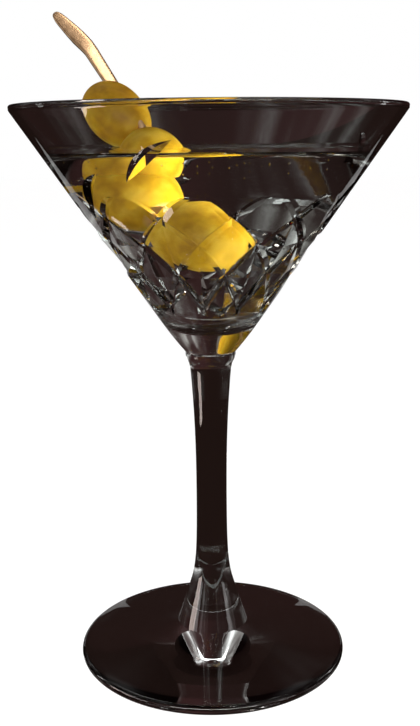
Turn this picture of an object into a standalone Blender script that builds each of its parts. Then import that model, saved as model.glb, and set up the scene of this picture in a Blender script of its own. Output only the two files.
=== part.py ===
"""A clear cocktail with three olives on a gold pick, in a stemmed glass with a cut bowl.

Metres, +Z up. The glass stands upright and the origin is under the centre of its foot.
Angles round the glass start at the front (-Y) and grow towards +X. The driving dimensions
below are in millimetres, and the bowl's pattern of cuts repeats all the way round.
"""

import math

import bmesh
import bpy
from mathutils import Matrix, Vector

MM = 0.001

# Glass: the foot and stem, one turned body
FOOT_RADIUS = 42.7
FOOT_EDGE_THICKNESS = 3.2
FOOT_CENTRE_HEIGHT = 9.8
FOOT_CENTRE_RADIUS = 11.2
WAIST_RADIUS = 4.8
WAIST_HEIGHT = 50.0
FLARE_RADIUS = 3.1
FLARE_HEIGHT = 21.0
FLARE_LENGTH = 6.3
SKIRT_HEIGHT = 25.0
SKIRT_PULL = (8.5, 18.0)
STEM_TAPER_POWER = 2.6
STEM_HEIGHTS = (90.0, 82.0, 72.0, 60.0, 46.0, 36.0, 30.0)
STEM_TOP_RADIUS = 6.55
STEM_TOP_HEIGHT = 96.0
COLLAR_RADIUS = 7.8
COLLAR_HEIGHT = 98.8
COLLAR_ROUNDING = 0.4
COLLAR_UNDERCUT = 1.5
COLLAR_TOP_HEIGHT = 99.9
ROOT_RADIUS = 6.7
ROOT_HEIGHT = 101.8
STEM_STEPS = 40

# Glass: the bowl, a cone on a rounded base
HEIGHT = 173.4
RIM_RADIUS = 58.0
RIM_BEAD = 0.8
CONE_BASE_RADIUS = 14.9
CONE_BASE_HEIGHT = 109.0
CONE_SLOPE = 0.6855
BOWL_FOOT_RADIUS = 8.0
BOWL_BASE_PULL = (11.6, 104.2)
INNER_RADIUS = 15.13
INNER_HEIGHT = 115.0
INNER_SLOPE = 0.7165
INNER_BOTTOM_HEIGHT = 108.5
RIM_SHOULDER = 2.0

# Cuts: two families of mitred grooves that cross on a lattice of CUT_REPEATS cells. A groove's
# width is a share of the cell.
CUT_REPEATS = 12
CUT_PHASE = -5.6
CUT_CELLS = 5
LATTICE_LOW = 115.5
LATTICE_RISE = 10.0
LATTICE_BEND = 0.55
ARCH_START = 3
ARCH_RISE = 7.1
ARCH_ROUND = 1.6
ARCH_TIP = 3.8
LATTICE_TOP = 4
GROOVE_DEPTH = 0.7
GROOVE_WIDTH = 0.2
FACET_DEPTH = 1.0
FACETED_ROWS = (1, 2)

# Long leaf cuts above the lattice, in pairs: angle and height of each end, and how far they bow
LEAF_REPEATS = 3
LEAF_HIGH = ((-29.1, 152.4), (-9.7, 163.7), 0.75)
LEAF_LOW = ((-59.0, 141.0), (-39.3, 155.1), 1.6)
LEAF_DEPTH = 1.35
LEAF_WIDTH = 3.9
LEAF_SWELL = 1.15
LEAF_FULLNESS = 0.8
LEAF_LIFT = 0.6
LEAF_STATIONS = 9
LEAF_ROWS = (165.0, 161.0, 157.0, 153.0)
SHARP_DEGREES = 12.0

# Drink
LEVEL = 160.0
GAP = 0.35
DRINK_STEPS = 48

# Olives, from the lowest up: length, width, drift of the centre off the pick, and long axis
OLIVES = {
    "olive_lower": (27.0, 21.6, (-1.3, 0.1, 0.1), (-0.50, 0.68, 0.54)),
    "olive_middle": (26.4, 21.0, (-3.2, 0.8, -1.5), (-0.47, 0.64, 0.61)),
    "olive_upper": (26.6, 18.6, (-3.5, 2.2, -3.0), (-0.64, 0.48, 0.60)),
}
OLIVE_SPACING = 27.0
OLIVE_BLUNTNESS = 0.06
OLIVE_SEGMENTS = 18
OLIVE_RINGS = 11

# Pick: a round rod that widens into a flat bar inside the top olive, bent there and at its knee
ROD_CENTRE = Vector((-1.0, -15.2, 139.5))
ROD_DIRECTION = Vector((-0.452, 0.633, 0.630)).normalized()
ROD_BELOW = 9.0
ROD_ABOVE = 61.0
ROD_RADIUS = 1.1
POINT_LENGTH = 5.0
POINT_WIDTH = 0.5
NECK_ABOVE = 64.5
BAR_BEND = Vector((-0.49, 0.48, 0.73)).normalized()
BAR_LENGTH = 16.5
BAR_WIDTH = 3.9
BAR_THICKNESS = 1.8
PADDLE_BEND = Vector((-0.645, 0.43, 0.634)).normalized()
PADDLE_LENGTH = 18.7
PADDLE_WIDTH = 5.0
KNEE_SHARE = 0.9
PADDLE_SHARES = ((0.3, 1.0), (0.65, 0.84), (0.88, 0.66), (0.97, 0.42), (1.0, 0.16))
PICK_FACING = Vector((0.25, -1.0, 0.0))
PICK_SIDES = 12


def clear_scene():
    for item in list(bpy.data.objects):
        bpy.data.objects.remove(item, do_unlink=True)


def new_collection(name):
    collection = bpy.data.collections.new(name)
    bpy.context.scene.collection.children.link(collection)
    return collection


def make_material(name, colour, roughness, metallic=0.0, transmission=0.0, ior=1.5):
    material = bpy.data.materials.new(name)
    material.use_nodes = True
    shader = material.node_tree.nodes["Principled BSDF"]
    shader.inputs["Base Color"].default_value = (*colour, 1.0)
    shader.inputs["Roughness"].default_value = roughness
    shader.inputs["Metallic"].default_value = metallic
    shader.inputs["Transmission Weight"].default_value = transmission
    shader.inputs["IOR"].default_value = ior
    return material


def add_object(name, mesh, collection, material=None):
    item = bpy.data.objects.new(name, mesh)
    collection.objects.link(item)
    if material:
        mesh.materials.append(material)
    return item


def add_cutter(name, mesh, collection):
    cutter = add_object(name, mesh, collection)
    cutter.hide_render = True
    cutter.display_type = "WIRE"
    return cutter


def add_boolean(item, other, operation):
    boolean = item.modifiers.new(operation.lower(), "BOOLEAN")
    boolean.operation = operation
    boolean.solver = "EXACT"
    boolean.object = other


def bake(item):
    """Replace the object's mesh by its evaluated one and drop the modifiers."""
    evaluated = item.evaluated_get(bpy.context.evaluated_depsgraph_get())
    mesh = bpy.data.meshes.new_from_object(evaluated)
    item.modifiers.clear()
    item.data = mesh


def turned(name, profile, steps, collection, material=None):
    """Turn a profile of (radius, height) in mm, listed down its outer side, round Z."""
    mesh = bpy.data.meshes.new(name)
    points = [(radius * MM, 0.0, height * MM) for radius, height in profile]
    edges = [(index, index + 1) for index in range(len(points) - 1)]
    mesh.from_pydata(points, edges, [])
    item = add_object(name, mesh, collection, material)
    screw = item.modifiers.new("turn", "SCREW")
    screw.steps = steps
    screw.render_steps = steps
    screw.use_merge_vertices = True
    screw.merge_threshold = 0.00001
    return item


def curve_points(start, control, end, count):
    """Points of a quadratic curve, without its start."""
    points = []
    for step in range(1, count + 1):
        t = step / count
        points.append(tuple(
            (1 - t) ** 2 * a + 2 * t * (1 - t) * b + t * t * c
            for a, b, c in zip(start, control, end)))
    return points


def arc_points(centre, radius, first, last, count):
    """Points of an arc in the profile plane, from angle first to last in degrees."""
    angles = [math.radians(first + (last - first) * step / count) for step in range(count + 1)]
    return [(centre[0] + radius * math.cos(a), centre[1] + radius * math.sin(a)) for a in angles]


def outer_radius(height):
    return CONE_BASE_RADIUS + CONE_SLOPE * (height - CONE_BASE_HEIGHT)


def inner_radius(height):
    return INNER_RADIUS + INNER_SLOPE * (height - INNER_HEIGHT)


def inner_bottom_radius():
    """Radius of the sphere that touches the inner cone and the bottom's lowest point."""
    slant = math.hypot(1.0, INNER_SLOPE)
    apex = INNER_HEIGHT - INNER_RADIUS / INNER_SLOPE
    return INNER_SLOPE * (INNER_BOTTOM_HEIGHT - apex) / (slant - INNER_SLOPE)


def inner_bottom_points(shrink, count):
    """The rounded bottom of the bowl from its lowest point out to the inner cone."""
    radius = inner_bottom_radius()
    centre = (0.0, INNER_BOTTOM_HEIGHT + radius)
    edge = -math.degrees(math.atan(INNER_SLOPE))
    return arc_points(centre, radius - shrink, -90.0, edge, count)


def stem_radius(height):
    rise = max(0.0, (height - WAIST_HEIGHT) / (STEM_TOP_HEIGHT - WAIST_HEIGHT))
    taper = (STEM_TOP_RADIUS - WAIST_RADIUS) * rise ** STEM_TAPER_POWER
    flare = FLARE_RADIUS * math.exp((FLARE_HEIGHT - height) / FLARE_LENGTH)
    return WAIST_RADIUS + taper + flare


def stem_profile():
    """The foot, the stem and its collar, with a root that reaches up into the bowl's base."""
    root = [(0.0, ROOT_HEIGHT), (ROOT_RADIUS, ROOT_HEIGHT)]
    collar = [(COLLAR_RADIUS, COLLAR_HEIGHT),
              (COLLAR_RADIUS - COLLAR_ROUNDING, COLLAR_HEIGHT - COLLAR_UNDERCUT)]
    heights = (STEM_TOP_HEIGHT, *STEM_HEIGHTS, SKIRT_HEIGHT)
    stem = [(stem_radius(height), height) for height in heights]
    skirt = curve_points(stem[-1], SKIRT_PULL, (FOOT_CENTRE_RADIUS, FOOT_CENTRE_HEIGHT), 4)
    half = FOOT_EDGE_THICKNESS / 2
    edge = arc_points((FOOT_RADIUS - half, half), half, 75.0, -90.0, 5)
    return root + collar + stem + skirt + edge + [(0.0, 0.0)]


def lattice_height(level):
    """Height of a lattice level, counted up from the grooves' lowest crossings."""
    if level <= ARCH_START:
        return LATTICE_LOW + LATTICE_RISE * level - LATTICE_BEND * level * (level - 1)
    rise = 1.0 - (1.0 - (level - ARCH_START)) ** ARCH_ROUND
    return lattice_height(ARCH_START) + ARCH_RISE * rise


def lattice_levels():
    count = LATTICE_TOP * CUT_CELLS
    return [step / CUT_CELLS for step in range(count, -1, -1)]


def bowl_profile():
    bead_centre = (RIM_RADIUS - RIM_BEAD, HEIGHT - RIM_BEAD)
    bead = arc_points(bead_centre, RIM_BEAD, 180.0, -40.0, 5)
    shoulder = HEIGHT - RIM_SHOULDER
    rows = [shoulder, *LEAF_ROWS, *map(lattice_height, lattice_levels())]
    outer_cone = [(outer_radius(height), height) for height in rows]
    base = [(CONE_BASE_RADIUS, CONE_BASE_HEIGHT)]
    base += curve_points(base[0], BOWL_BASE_PULL, (BOWL_FOOT_RADIUS, COLLAR_TOP_HEIGHT), 3)
    inside = inner_bottom_points(0.0, 3)
    return inside + bead + outer_cone + base + [(0.0, COLLAR_TOP_HEIGHT)]


def groove_strength(level, rising):
    """How deep a groove of either family is cut at a level, from 0 to 1."""
    if level < 0 or level > LATTICE_TOP:
        return 0.0
    if level <= ARCH_START:
        return 1.0
    fade = max(0.0, (ARCH_TIP - level) / (ARCH_TIP - ARCH_START))
    return fade ** 0.5 if rising else 0.5 * fade


def groove_distances(turn, level):
    """Distance to the nearest falling and the nearest rising groove, in cells."""
    along = (turn + level) / 2
    across = (turn - level) / 2
    return abs(along - round(along)), abs(across - round(across))


def cut_depth(turn, level):
    """Depth of the cuts in mm at a lattice position: turn in half cells, and level."""
    to_falling, to_rising = groove_distances(turn, level)
    half_width = GROOVE_WIDTH / 2
    depth = 0.0
    for distance, rising in ((to_falling, False), (to_rising, True)):
        profile = max(0.0, 1.0 - distance / half_width)
        depth = max(depth, GROOVE_DEPTH * profile * groove_strength(level, rising))
    nudges = [(a, b) for a in (-0.01, 0.01) for b in (-0.01, 0.01)]
    rows = [math.floor((turn + level) / 2 + a) - math.floor((turn - level) / 2 + b)
            for a, b in nudges]
    if any(row in FACETED_ROWS for row in rows):
        depth += FACET_DEPTH * (1.0 - 2.0 * min(to_falling, to_rising))
    return depth


def crease_ends(corners, places):
    """The diagonal of a quad that runs along its nearest groove."""
    turns = [places[corner][0] for corner in corners]
    levels = [places[corner][1] for corner in corners]
    whole = 2 * CUT_REPEATS
    steps = [(turn - turns[0] + CUT_REPEATS) % whole - CUT_REPEATS for turn in turns]
    middle = turns[0] + sum(steps) / 4
    to_falling, to_rising = groove_distances(middle, sum(levels) / 4)
    first_rises = (steps[2] - steps[0]) * (levels[2] - levels[0]) > 0
    if first_rises == (to_rising < to_falling):
        return corners[0], corners[2]
    return corners[1], corners[3]


def cut_lattice(mesh):
    """Sink the outer cone's points to the depth of the cuts, with the creases along them."""
    form = bmesh.new()
    form.from_mesh(mesh)
    tilt = math.atan(CONE_SLOPE)
    inward = (-math.cos(tilt), math.sin(tilt))
    level_at = {round(lattice_height(level), 3): level for level in lattice_levels()}
    places = {}
    for vertex in form.verts:
        radius = math.hypot(vertex.co.x, vertex.co.y) / MM
        height = round(vertex.co.z / MM, 3)
        outside = abs(radius - outer_radius(height)) < 0.01
        if not outside or height not in level_at:
            continue
        angle = math.degrees(math.atan2(vertex.co.x, -vertex.co.y)) - CUT_PHASE
        turn = round(angle * CUT_REPEATS * 2 * CUT_CELLS / 360) / CUT_CELLS
        places[vertex] = (turn, level_at[height])
    for face in list(form.faces):
        corners = list(face.verts)
        if len(corners) == 4 and all(corner in places for corner in corners):
            bmesh.utils.face_split(face, *crease_ends(corners, places))
    for vertex, (turn, level) in places.items():
        depth = cut_depth(turn, level)
        radius = math.hypot(vertex.co.x, vertex.co.y)
        scale = 1.0 + inward[0] * depth * MM / radius
        vertex.co = (vertex.co.x * scale, vertex.co.y * scale, vertex.co.z + inward[1] * depth * MM)
    form.to_mesh(mesh)
    form.free()


def on_cone(angle, height, lift):
    """Point above the outer cone: angle in degrees, height and lift in mm."""
    tilt = math.atan(CONE_SLOPE)
    radius = outer_radius(height) + lift * math.cos(tilt)
    turn = math.radians(angle)
    return Vector((radius * math.sin(turn), -radius * math.cos(turn),
                   height - lift * math.sin(tilt))) * MM


def leaf_path(leaf, t):
    """Angle and height of a leaf cut's middle line, with t from 0 to 1 along it."""
    (angle_a, height_a), (angle_b, height_b), bow = leaf
    swell = bow * math.sin(math.pi * t)
    angle = angle_a + (angle_b - angle_a) * t - swell
    height = height_a + (height_b - height_a) * t + swell
    return angle, height


def leaf_cutter(name, leaf, turn, collection):
    """A V-shaped blade on a bowed path, widest halfway and clear of the glass at its tips."""
    form = bmesh.new()
    sections = []
    step = 0.5 / LEAF_STATIONS
    for station in range(LEAF_STATIONS):
        t = station / (LEAF_STATIONS - 1)
        along = on_cone(*leaf_path(leaf, t + step), 0.0) - on_cone(*leaf_path(leaf, t - step), 0.0)
        lifted = on_cone(*leaf_path(leaf, t), LEAF_LIFT)
        outward = lifted - on_cone(*leaf_path(leaf, t), 0.0)
        swell = max(0.0, math.sin(math.pi * t)) ** LEAF_FULLNESS
        depth = LEAF_DEPTH * (LEAF_SWELL * swell + 1.0 - LEAF_SWELL)
        half_width = LEAF_WIDTH / 2 * (depth + LEAF_LIFT) / LEAF_DEPTH
        side = along.cross(outward).normalized() * half_width * MM
        corners = (on_cone(*leaf_path(leaf, t), -depth), lifted - side, lifted + side)
        sections.append([form.verts.new(corner) for corner in corners])
    for before, after in zip(sections, sections[1:]):
        for side in range(3):
            following = (side + 1) % 3
            form.faces.new((before[side], before[following], after[following], after[side]))
    form.faces.new(sections[0])
    form.faces.new(sections[-1])
    bmesh.ops.recalc_face_normals(form, faces=form.faces)
    mesh = bpy.data.meshes.new(name)
    form.to_mesh(mesh)
    form.free()
    mesh.transform(Matrix.Rotation(turn, 4, "Z"))
    return add_cutter(name, mesh, collection)


def make_glass(parts, cutters, material):
    glass = turned("glass", bowl_profile(), CUT_REPEATS * 2 * CUT_CELLS, parts, material)
    bake(glass)
    glass.data.transform(Matrix.Rotation(math.radians(CUT_PHASE), 4, "Z"))
    cut_lattice(glass.data)
    stem = turned("stem_form", stem_profile(), STEM_STEPS, cutters)
    bake(stem)
    stem.hide_render = True
    stem.display_type = "WIRE"
    add_boolean(glass, stem, "UNION")
    for repeat in range(LEAF_REPEATS):
        turn = 2 * math.pi * repeat / LEAF_REPEATS
        for label, leaf in (("high", LEAF_HIGH), ("low", LEAF_LOW)):
            cutter = leaf_cutter(f"leaf_{label}_{repeat}", leaf, turn, cutters)
            add_boolean(glass, cutter, "DIFFERENCE")
    bake(glass)
    glass.data.shade_smooth()
    glass.data.set_sharp_from_angle(angle=math.radians(SHARP_DEGREES))


def olive_mesh(name, length, width, grow):
    """An egg-like olive along +Z, blunter at its upper end, grown by a clearance."""
    form = bmesh.new()
    bmesh.ops.create_uvsphere(
        form, u_segments=OLIVE_SEGMENTS, v_segments=OLIVE_RINGS, radius=1.0)
    for vertex in form.verts:
        upward = vertex.co.z
        spread = (width / 2 + grow) * (1.0 + OLIVE_BLUNTNESS * upward)
        vertex.co = Vector((vertex.co.x * spread, vertex.co.y * spread,
                            upward * (length / 2 + grow))) * MM
    mesh = bpy.data.meshes.new(name)
    form.to_mesh(mesh)
    form.free()
    return mesh


def olive_places():
    """Length, width and placement of each olive by name."""
    places = {}
    for index, (name, (length, width, drift, axis)) in enumerate(OLIVES.items()):
        centre = ROD_CENTRE + ROD_DIRECTION * OLIVE_SPACING * index + Vector(drift)
        places[name] = (length, width, centre * MM, Vector(axis).to_track_quat("Z", "Y"))
    return places


def place_olive(item, centre, turn):
    item.location = centre
    item.rotation_mode = "QUATERNION"
    item.rotation_quaternion = turn


def pick_sections():
    """Centre, direction, width and thickness of each section of the pick, from its point up."""
    point = ROD_CENTRE - ROD_DIRECTION * ROD_BELOW
    neck = ROD_CENTRE + ROD_DIRECTION * NECK_ABOVE
    knee = neck + BAR_BEND * BAR_LENGTH
    rod = (ROD_DIRECTION, 2 * ROD_RADIUS, 2 * ROD_RADIUS)
    sections = [(point, ROD_DIRECTION, POINT_WIDTH, POINT_WIDTH)]
    sections.append((point + ROD_DIRECTION * POINT_LENGTH, *rod))
    sections.append((ROD_CENTRE + ROD_DIRECTION * ROD_ABOVE, *rod))
    sections.append((neck, ROD_DIRECTION + BAR_BEND, BAR_WIDTH, BAR_THICKNESS))
    sections.append((knee, BAR_BEND + PADDLE_BEND, PADDLE_WIDTH * KNEE_SHARE, BAR_THICKNESS))
    for share, width in PADDLE_SHARES:
        sections.append((knee + PADDLE_BEND * PADDLE_LENGTH * share, PADDLE_BEND,
                         PADDLE_WIDTH * width, BAR_THICKNESS * width ** 0.5))
    return sections


def pick_mesh(name, grow):
    """Loft the pick's round rod into its flat paddle, grown by a clearance."""
    form = bmesh.new()
    rings = []
    sections = pick_sections()
    for index, (centre, direction, width, thickness) in enumerate(sections):
        along = direction.normalized()
        facing = (PICK_FACING - along * PICK_FACING.dot(along)).normalized()
        side = along.cross(facing)
        end = {0: -1.0, len(sections) - 1: 1.0}.get(index, 0.0)
        base = centre + along * grow * end
        ring = []
        for step in range(PICK_SIDES):
            turn = 2 * math.pi * step / PICK_SIDES
            offset = side * math.cos(turn) * (width / 2 + grow)
            offset += facing * math.sin(turn) * (thickness / 2 + grow)
            ring.append(form.verts.new((base + offset) * MM))
        rings.append(ring)
    for before, after in zip(rings, rings[1:]):
        for step in range(PICK_SIDES):
            following = (step + 1) % PICK_SIDES
            form.faces.new((before[step], before[following], after[following], after[step]))
    form.faces.new(rings[0])
    form.faces.new(rings[-1])
    bmesh.ops.recalc_face_normals(form, faces=form.faces)
    mesh = bpy.data.meshes.new(name)
    form.to_mesh(mesh)
    form.free()
    return mesh


def make_olives(parts, material, clearance):
    for name, (length, width, centre, turn) in olive_places().items():
        olive = add_object(name, olive_mesh(name, length, width, 0.0), parts, material)
        place_olive(olive, centre, turn)
        add_boolean(olive, clearance, "DIFFERENCE")


def make_drink(parts, cutters, material, clearance):
    """Fill the bowl up to the level, clear of the wall, the olives and the pick."""
    slant = math.hypot(1.0, INNER_SLOPE)
    top = (inner_radius(LEVEL) - GAP * slant, LEVEL)
    bottom = list(reversed(inner_bottom_points(GAP, 3)))
    drink = turned("drink", [(0.0, LEVEL), top] + bottom, DRINK_STEPS, parts, material)
    bake(drink)
    for name, (length, width, centre, turn) in olive_places().items():
        room = add_cutter(f"{name}_room", olive_mesh(f"{name}_room", length, width, GAP), cutters)
        place_olive(room, centre, turn)
        add_boolean(drink, room, "DIFFERENCE")
    add_boolean(drink, clearance, "DIFFERENCE")


def main():
    clear_scene()
    parts = new_collection("cocktail")
    cutters = new_collection("cutters")
    glass = make_material("clear_glass", (0.93, 0.95, 0.95), 0.02, transmission=1.0)
    liquid = make_material("clear_drink", (0.95, 0.94, 0.90), 0.0, transmission=1.0, ior=1.35)
    flesh = make_material("golden_olive", (0.80, 0.52, 0.05), 0.32)
    gold = make_material("gold_metal", (0.66, 0.42, 0.20), 0.28, metallic=1.0)
    clearance = add_cutter("pick_room", pick_mesh("pick_room", GAP), cutters)
    make_glass(parts, cutters, glass)
    add_object("pick", pick_mesh("pick", 0.0), parts, gold)
    make_olives(parts, flesh, clearance)
    make_drink(parts, cutters, liquid, clearance)


main()
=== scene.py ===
"""The looks of a clear cocktail with golden olives in a stemmed, diamond-cut glass.

Sizes are in millimetres and turned into metres where they reach Blender. Angles round the
glass start at the front (-Y) and grow towards +X, in degrees.
"""

import math
import random

import bmesh
import bpy
from mathutils import Matrix, Quaternion, Vector


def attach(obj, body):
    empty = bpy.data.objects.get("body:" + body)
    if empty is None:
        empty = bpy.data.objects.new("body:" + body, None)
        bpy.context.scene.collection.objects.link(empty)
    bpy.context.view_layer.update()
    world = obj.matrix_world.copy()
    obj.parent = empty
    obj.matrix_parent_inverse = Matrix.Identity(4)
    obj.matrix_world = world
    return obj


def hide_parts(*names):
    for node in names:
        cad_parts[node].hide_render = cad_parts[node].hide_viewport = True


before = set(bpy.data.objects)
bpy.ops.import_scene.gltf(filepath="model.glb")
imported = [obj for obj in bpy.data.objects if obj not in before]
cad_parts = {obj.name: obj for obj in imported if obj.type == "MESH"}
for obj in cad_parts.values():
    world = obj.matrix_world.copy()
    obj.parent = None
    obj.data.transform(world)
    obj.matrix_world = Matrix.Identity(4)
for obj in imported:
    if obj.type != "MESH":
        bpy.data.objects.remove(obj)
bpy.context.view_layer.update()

MM = 0.001

# Glass: the foot, the stem and its collar. A pull is a curve's control point, and points are
# a radius and a height.
FOOT_RADIUS = 42.7
FOOT_EDGE_THICKNESS = 3.2
FOOT_EDGE_START = 78.0
FOOT_CENTRE_HEIGHT = 9.8
FOOT_CENTRE_RADIUS = 11.2
FOOT_SLOPE_PULL = (14.5, 8.7)
FOOT_SLOPE_POINT = (21.0, 7.35)
WAIST_RADIUS = 4.8
WAIST_HEIGHT = 50.0
FLARE_RADIUS = 3.1
FLARE_HEIGHT = 21.0
FLARE_LENGTH = 6.3
SKIRT_HEIGHT = 25.0
SKIRT_PULL = (8.5, 18.0)
STEM_TAPER_POWER = 2.6
STEM_STEPS = 44
STEM_TOP_RADIUS = 6.55
STEM_TOP_HEIGHT = 96.0
COLLAR_FOOT_STEP = 0.15
COLLAR_FOOT_PULL = (6.9, 96.3)
COLLAR_WAIST = (7.45, 97.5)
COLLAR_PULL = (8.0, 98.8)
COLLAR_TOP_HEIGHT = 99.9
NOTCH_LOW = (7.62, 99.72)
NOTCH_HIGH = (7.85, 99.78)

# Glass: the bowl, a cone on a rounded base
HEIGHT = 173.4
RIM_RADIUS = 58.0
RIM_BEAD = 0.8
CONE_BASE_RADIUS = 14.9
CONE_BASE_HEIGHT = 109.0
CONE_SLOPE = 0.6855
BOWL_FOOT_RADIUS = 8.0
BOWL_BASE_PULL = (11.6, 104.2)
INNER_RADIUS = 15.13
INNER_HEIGHT = 115.0
INNER_SLOPE = 0.7165
INNER_BOTTOM_HEIGHT = 108.5
RIM_SHOULDER = 2.0
SHOULDER_ROUNDING = 0.8
RIM_GUARD = 0.25

# Cuts: two families of mitred grooves that cross on a lattice of CUT_REPEATS cells. A groove's
# width is a share of the cell.
CUT_REPEATS = 12
CUT_PHASE = -5.6
CUT_CELLS = 10
TURN_STEPS = CUT_REPEATS * 2 * CUT_CELLS
GROOVE_WIDTH = 0.2
LATTICE_LOW = 115.5
LATTICE_RISE = 10.0
LATTICE_BEND = 0.55
ARCH_START = 3
ARCH_RISE = 7.1
ARCH_ROUND = 1.6
ARCH_TIP = 3.8
ARCH_FADE_POWER = 0.5
ARCH_WEAK_SIDE = 0.5
LATTICE_TOP = 4
GROOVE_DEPTH = 0.7
FACET_DEPTH = 1.0
FACETED_ROWS = (1, 2)
CELL_NUDGE = 0.01
SURFACE_TOLERANCE = 0.01

# Long leaf cuts above the lattice, in pairs: angle and height of each end, and how far they bow
LEAF_REPEATS = 3
LEAF_HIGH = ((-29.1, 152.4), (-9.7, 163.7), 0.75)
LEAF_LOW = ((-59.0, 141.0), (-39.3, 155.1), 1.6)
LEAF_DEPTH = 1.35
LEAF_WIDTH = 3.9
LEAF_SWELL = 1.15
LEAF_FULLNESS = 0.8
LEAF_LIFT = 0.6
LEAF_STATIONS = 17

# Creases: crisp in the cuts, from a little below the lattice to a little below the shoulder
CUT_MARGINS = (1.0, 0.5)
CREASE_DEGREES = 4.0
SMOOTH_DEGREES = 30.0

# Drink
LEVEL = 160.0
WALL_OVERLAP = 0.12
MENISCUS_RISE = 0.8
MENISCUS_REACH = 1.2
OLIVE_MENISCUS = 0.9
CONTACT_DROP = 0.01
DRINK_STEPS = 192
SURFACE_RINGS = 40
DRINK_CREASE_DEGREES = 50.0

# Bubbles: for each group how many, its lowest and highest place, and the largest radius
BUBBLE_SEED = 7
BUBBLE_GROUPS = ((34, LEVEL - 2.2, LEVEL - 0.4, 0.3), (12, 122.0, 157.0, 0.22))
BUBBLE_SMALLEST = 0.12
BUBBLE_CROWDING = 0.35
BUBBLE_WALL_GAP = 0.3
BUBBLE_OLIVE_GAP = 0.2

# Olives, from the lowest up: length, width, drift of the centre off the pick, and long axis
OLIVES = {
    "olive_lower": (27.0, 21.6, (-1.3, 0.1, 0.1), (-0.50, 0.68, 0.54)),
    "olive_middle": (26.4, 21.0, (-3.2, 0.8, -1.5), (-0.47, 0.64, 0.61)),
    "olive_upper": (26.6, 18.6, (-3.5, 2.2, -3.0), (-0.64, 0.48, 0.60)),
}
OLIVE_SPACING = 27.0
OLIVE_BLUNTNESS = 0.06
OLIVE_SEGMENTS = 96
OLIVE_RINGS = 64
OLIVE_DIMPLE_DEPTH = 0.9
OLIVE_DIMPLE_RADIUS = 2.4
OLIVE_ROLL = 2.1

# Lumps on an olive's skin: their height as a share of its radius, and how fast they follow one
# another along its X and Y, or its Z and X. Each olive's lumps are shifted against the last's.
SIDE_LUMPS = (0.012, 3.1, 2.7)
END_LUMPS = (0.010, 4.3, 2.0)
LUMP_SHIFT = 1.7

# Pick: a round rod that widens into a flat bar inside the top olive, bent there and at its knee.
# A pair of paddle shares is a place along the paddle, and its width there.
ROD_CENTRE = Vector((-1.0, -15.2, 139.5))
ROD_DIRECTION = Vector((-0.452, 0.633, 0.630)).normalized()
ROD_BELOW = 9.0
ROD_ABOVE = 61.0
ROD_RADIUS = 1.1
POINT_LENGTH = 5.0
POINT_WIDTH = 0.4
POINT_SHARES = (0.0, 0.25, 0.5, 0.75)
POINT_POWER = 0.7
NECK_ABOVE = 64.5
BAR_BEND = Vector((-0.49, 0.48, 0.73)).normalized()
BAR_LENGTH = 16.5
BAR_WIDTH = 3.9
BAR_THICKNESS = 1.8
BAR_SHARES = (0.1, 0.5, 0.92)
KNEE_SHARE = 0.9
PADDLE_BEND = Vector((-0.645, 0.43, 0.634)).normalized()
PADDLE_LENGTH = 18.7
PADDLE_WIDTH = 5.0
PADDLE_SHARES = ((0.07, 0.95), (0.3, 1.0), (0.5, 0.93), (0.65, 0.84), (0.78, 0.76), (0.88, 0.66),
                 (0.94, 0.53), (0.97, 0.42), (0.99, 0.28), (1.0, 0.12))
PADDLE_THINNING = 0.5
PICK_FACING = Vector((0.25, -1.0, 0.0))
PICK_SIDES = 32
PICK_CREASE_DEGREES = 28.0

# How square a section of the pick is
ROUND = 2.0
SQUARE = 5.0

# Colours of the clear pieces, and of the faint shadows that they cast
GLASS_TINT = (0.94, 0.985, 0.975)
GLASS_SHADOW = (0.97, 0.98, 0.98)
GLASS_IOR = 1.5
DRINK_TINT = (0.99, 0.985, 0.97)
DRINK_SHADOW = (0.98, 0.98, 0.97)
DRINK_IOR = 1.35
BUBBLE_SHADOW = (0.98, 0.98, 0.98)
BUBBLE_IOR = 0.74

# Where each stop of a noise ramp lies, and its colour or its value in all three channels
GLASS_HAZE = ((0.45, (0.0,) * 3), (0.8, (0.03,) * 3))
BUBBLE_FILM = ((0.3, (0.93, 0.95, 0.95)), (0.7, (1.0, 1.0, 1.0)))
OLIVE_SKIN = ((0.30, (0.52, 0.25, 0.006)), (0.50, (0.74, 0.41, 0.015)),
              (0.72, (0.92, 0.60, 0.05)))
GOLD_COLOURS = ((0.3, (0.60, 0.38, 0.21)), (0.7, (0.70, 0.46, 0.27)))
GOLD_ROUGHNESS = ((0.3, (0.28,) * 3), (0.7, (0.36,) * 3))

# The olives' lower ends: each one's colour, and the heights between which it takes over
OLIVE_ENDS = ((0.84, 0.52, 0.05), (0.86, 0.56, 0.22), (0.86, 0.56, 0.22))
OLIVE_END_HEIGHTS = (-11.2, -12.2)

# Stage, in metres: a pale floor that only the camera sees, just above a dark one
FLOOR_RADIUS = 4.0
FLOOR_SEGMENTS = 96
PALE_FLOOR_HEIGHT = -0.0004
PALE_FLOOR_GLOW = (0.96, 0.96, 0.96)
PALE_FLOOR_BASE = (0.20, 0.20, 0.20)
DARK_FLOOR_HEIGHT = -0.0012
DARK_FLOOR_GLOW = (0.0125, 0.0064, 0.0052)
DARK_FLOOR_BASE = (0.004, 0.003, 0.003)

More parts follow.
